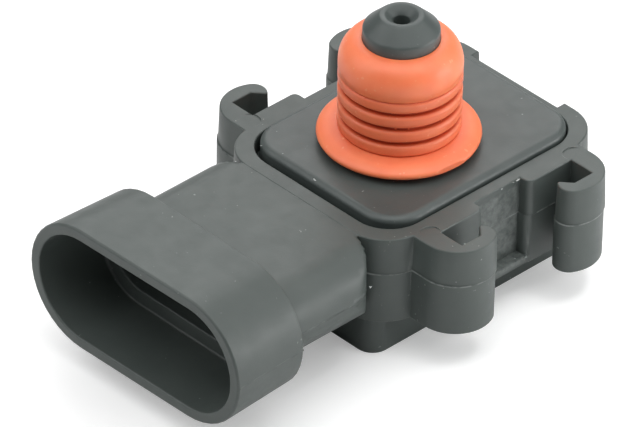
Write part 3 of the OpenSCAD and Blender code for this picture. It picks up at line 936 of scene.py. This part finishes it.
def build_marks():
    """Burrs that the photograph shows at corners of the housing, on the cover and on the seal's ribs."""
    panel_x = FLANGE_X + SLOT_END - PAD_L
    panel_y = -FLANGE_W / 2
    corner_x = FLANGE_X - HOOK_OUT
    housing = [((panel_x - 0.25, panel_y - 0.05, FLANGE_TOP - 0.03), (0.9, 0.25, 0.25)),
               ((panel_x - 0.9, panel_y - 0.03, FLANGE_TOP - 0.05), (0.35, 0.2, 0.15)),
               ((panel_x - 2.4, panel_y - 0.04, FLANGE_TOP - 0.05), (0.4, 0.2, 0.15)),
               ((panel_x - 0.15, -PAD_FACE, FLANGE_BOTTOM + LIP_H), (0.7, 0.3, 0.3)),
               ((panel_x - 1.1, -PAD_FACE + 0.5, FLANGE_BOTTOM + LIP_H), (0.3, 0.25, 0.2)),
               ((corner_x + 0.05, -10.55, FLANGE_TOP - 0.06), (0.5, 0.5, 0.2)),
               ((corner_x + 0.35, -11.1, FLANGE_TOP - 0.02), (0.25, 0.25, 0.15)),
               ((FLANGE_X - SLOT_END + 0.15, -SLOT_FAR - 0.2, FLANGE_TOP), (0.25, 0.2, 0.15)),
               ((FLANGE_X - SLOT_END - 0.9, -SLOT_FAR + 0.3, FLANGE_TOP), (0.2, 0.2, 0.12)),
               ((NECK_END_X - 0.1, 8.4, FLANGE_TOP - 0.02), (0.35, 0.2, 0.12)),
               ((NECK_END_X - 1.4, -NECK_W / 2 + 0.35, SOCKET_Z + 0.7), (0.5, 0.3, 0.7))]
    build_chips("housing_burrs", housing, PALE_FLASH)
    lid_x = COVER_X - COVER_L / 2
    cover = [((lid_x + 0.35, 0.6, COVER_TOP - 0.12), (0.5, 0.8, 0.4)),
             ((lid_x + 2.2, -3.95, COVER_TOP), (0.5, 0.12, 0.1)),
             ((lid_x + 0.8, 5.6, COVER_TOP), (0.2, 0.2, 0.12)),
             ((lid_x + 0.3, 8.1, COVER_TOP - 0.15), (0.25, 0.25, 0.2)),
             ((lid_x + 2.9, 8.6, COVER_TOP), (0.2, 0.16, 0.1))]
    build_chips("cover_specks", cover, PALE_FLASH)
    seal = []
    for angle, k, size in ((-120, 3, 0.3), (-170, 3, 0.5), (-176, 3, 0.35), (-138, 2, 0.35), (-126, 2, 0.3),
                           (-92, 2, 0.3), (-84, 3, 0.25), (-150, 1, 0.25), (-65, 0, 0.3)):
        a = math.radians(angle)
        z = FIN_Z + k * FIN_PITCH + (FIN_T if k % 2 else 0.0)
        r = DRUM_R - 0.12
        seal.append(((r * math.cos(a), r * math.sin(a), z), (size, size, size * 0.7)))
    build_chips("seal_burrs", seal, SILICONE)


# Camera, light and floor

# Camera as fitted to the photograph, in degrees and millimetres
AZIMUTH = -44.18
ELEVATION = 36.03
ROLL = 1.02
DISTANCE = 763.6
AIM = (0.0, 0.0, 13.6)
SIDE_SHIFT = -7.39
UP_SHIFT = -6.78
FOCAL_MM = 450.0
SENSOR_MM = 36.0

# Brightness of world and lamps, where 1 is white, and what the floor adds for the camera alone
AMBIENT = 0.08
TOP_LIGHT = 2.2
BACK_LIGHT = 2.0
RIGHT_LIGHT = 1.4
LOW_LIGHT = 5.5
LEFT_LIGHT = 1.8
FLOOR_LIFT = 0.3

# Lamp over the floor beside the part, and half the floor's side in millimetres
FLOOR_SPOT_WATTS = 1.5
FLOOR_SPOT_ANGLE = 50
FLOOR_HALF = 900


def view_axes():
    """Right, up and back directions of the camera before its roll."""
    a = math.radians(AZIMUTH)
    e = math.radians(ELEVATION)
    back = Vector((math.sin(a) * math.cos(e), -math.cos(a) * math.cos(e), math.sin(e)))
    right = Vector((math.cos(a), math.sin(a), 0.0))
    return right, back.cross(right), back


def add_camera():
    right, up, back = view_axes()
    place_at = Vector(AIM) + back * DISTANCE + right * SIDE_SHIFT + up * UP_SHIFT
    r = math.radians(ROLL)
    rolled_right = right * math.cos(r) + up * math.sin(r)
    rolled_up = up * math.cos(r) - right * math.sin(r)
    data = bpy.data.cameras.new("camera")
    data.lens = FOCAL_MM
    data.sensor_width = SENSOR_MM
    data.clip_start = 0.01
    data.clip_end = 10.0
    camera = add_object("camera", data)
    matrix = Matrix((rolled_right, rolled_up, back)).transposed().to_4x4()
    matrix.translation = place_at * MM
    camera.matrix_world = matrix
    bpy.context.scene.camera = camera


def add_area(name, direction, distance, size, brightness):
    """Soft square lamp of a brightness, in shades of white, that looks at the part from a direction."""
    data = bpy.data.lights.new(name, "AREA")
    data.energy = brightness * math.pi * size * size
    data.size = size
    lamp = add_object(name, data)
    heading = Vector(direction).normalized()
    lamp.location = heading * distance
    lamp.rotation_euler = heading.to_track_quat("Z", "Y").to_euler()


def add_floor_spot(place_at):
    """Lamp that shines straight down on the floor beside the part, which throws its light up again."""
    data = bpy.data.lights.new("floor_light", "SPOT")
    data.energy = FLOOR_SPOT_WATTS
    data.spot_size = math.radians(FLOOR_SPOT_ANGLE)
    data.spot_blend = 0.6
    data.shadow_soft_size = 0.03
    add_object("floor_light", data).location = place_at


def add_world():
    """White to the camera and dim to everything else."""
    world = bpy.data.worlds.new("world")
    world.use_nodes = True
    tree = world.node_tree
    ambient = tree.nodes["Background"]
    ambient.inputs["Color"].default_value = (0.98, 0.99, 1.0, 1.0)
    ambient.inputs["Strength"].default_value = AMBIENT
    white = tree.nodes.new("ShaderNodeBackground")
    white.inputs["Strength"].default_value = 1.0
    path = tree.nodes.new("ShaderNodeLightPath")
    choice = tree.nodes.new("ShaderNodeMixShader")
    tree.links.new(path.outputs["Is Camera Ray"], choice.inputs["Fac"])
    tree.links.new(ambient.outputs["Background"], choice.inputs[1])
    tree.links.new(white.outputs["Background"], choice.inputs[2])
    tree.links.new(choice.outputs["Shader"], tree.nodes["World Output"].inputs["Surface"])
    bpy.context.scene.world = world


def add_lamps():
    right, _, back = view_axes()
    front = Vector((back.x, back.y, 0.0)).normalized()
    above = Vector((0.0, 0.0, 1.0))
    add_area("top_light", above + front * 0.2, 0.6, 0.55, TOP_LIGHT)
    add_area("back_light", above * 0.8 - front, 0.7, 0.6, BACK_LIGHT)
    add_area("right_light", right + above * 0.9, 0.5, 0.5, RIGHT_LIGHT)
    add_area("low_light", right + front * 0.1 + above * 0.12, 0.5, 0.25, LOW_LIGHT)
    add_area("left_light", above * 0.85 + front * 0.1 - right, 0.6, 0.5, LEFT_LIGHT)
    add_floor_spot(right * 0.09 + front * 0.06 + above * 0.2)


def add_floor():
    """Pale floor under the part, which only belongs to the picture."""
    corners = [(x * FLOOR_HALF, y * FLOOR_HALF, 0) for x, y in ((-1, -1), (1, -1), (1, 1), (-1, 1))]
    floor = mesh_object("floor", corners, [(0, 1, 2, 3)])
    floor.location.z = -0.00002
    m = Nodes("floor")
    pale = m.mix(m.ramp(m.noise(40.0), 0.3, 0.7, 0.0, 1.0), (0.84, 0.84, 0.84), (0.88, 0.88, 0.88))
    m.drive("Base Color", pale)
    m.set("Roughness", 0.8)
    m.set("Specular IOR Level", 0.1)
    m.set("Emission Color", (1.0, 1.0, 1.0, 1.0))
    camera_ray = m.add("ShaderNodeLightPath").outputs["Is Camera Ray"]
    m.drive("Emission Strength", m.ramp(camera_ray, 0.0, 1.0, 0.0, FLOOR_LIFT))
    floor.data.materials.append(m.material)


def finish_inner_nodes():
    """Gives the nodes that keep their CAD shape their materials."""
    slots = {part["node"]: part["material_slot"] for part in frame["record"]["subparts"]}
    for name, item in frame["nodes"].items():
        slot = slots[name]
        if slot in FINISHES:
            item.data.materials.clear()
            item.data.materials.append(FINISHES[slot])


random.seed(7)
build_housing()
build_cover()
build_seal()
build_marks()
finish_inner_nodes()
add_camera()
bpy.context.scene.view_settings.view_transform = "Standard"
add_world()
add_lamps()
add_floor()
